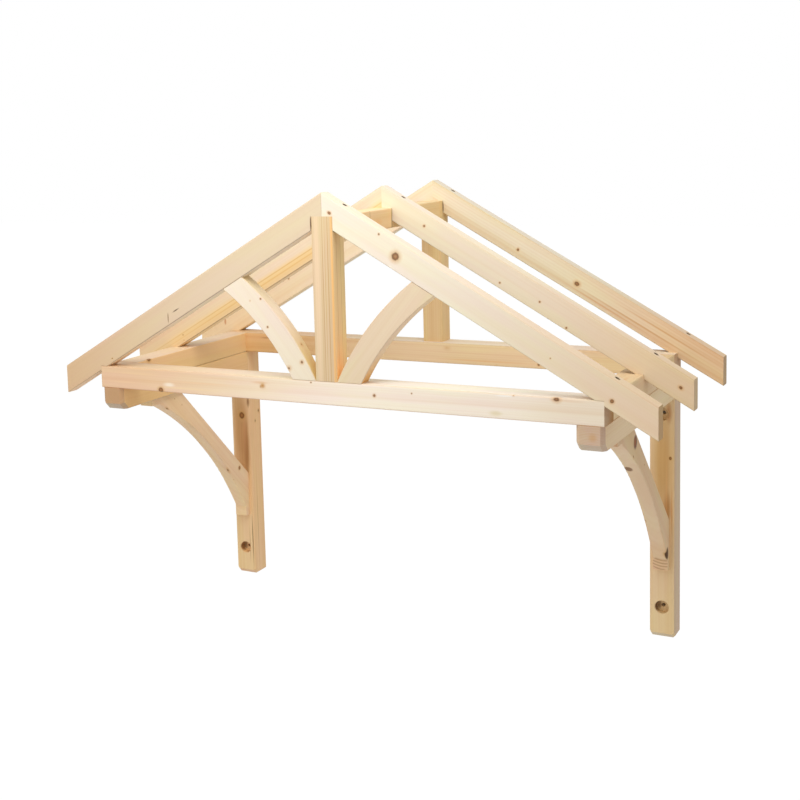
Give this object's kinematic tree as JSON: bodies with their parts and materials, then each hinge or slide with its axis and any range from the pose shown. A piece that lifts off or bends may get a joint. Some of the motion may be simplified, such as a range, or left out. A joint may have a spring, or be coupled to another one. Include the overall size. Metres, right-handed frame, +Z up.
{
  "type": "gable porch canopy frame",
  "caption": "Timber gable porch canopy frame for fixing to a wall over a door: tie beams, king posts, rafters and curved brackets, open on top for a roof covering.",
  "frame": {"origin": "on the wall plane and the centre line, halfway up the back tie beam's rear face", "axes": "+X along the wall, +Y into the wall, +Z up; the canopy reaches out along -Y"},
  "size_m": [2.46, 1.075, 1.8817],
  "materials": {
    "tie_beams": "planed, untreated",
    "side_plates": "planed, untreated",
    "king_posts": "planed, untreated",
    "ridge_purlin": "planed, untreated",
    "rafters": "planed, untreated",
    "gable_struts": "planed, untreated",
    "brackets": "planed, untreated"
  },
  "bodies": {
    "root": {"front_tie_beam": "tie_beams", "back_tie_beam": "tie_beams", "left_side_plate": "side_plates", "right_side_plate": "side_plates", "front_king_post": "king_posts", "back_king_post": "king_posts", "ridge_purlin": "ridge_purlin", "front_left_rafter": "rafters", "front_right_rafter": "rafters", "mid_left_rafter": "rafters", "mid_right_rafter": "rafters", "back_left_rafter": "rafters", "back_right_rafter": "rafters", "left_gable_strut": "gable_struts", "right_gable_strut": "gable_struts", "left_wall_post": "brackets", "right_wall_post": "brackets", "left_bracket_arm": "brackets", "right_bracket_arm": "brackets", "left_knee_brace": "brackets", "right_knee_brace": "brackets"}
  },
  "joints": []
}
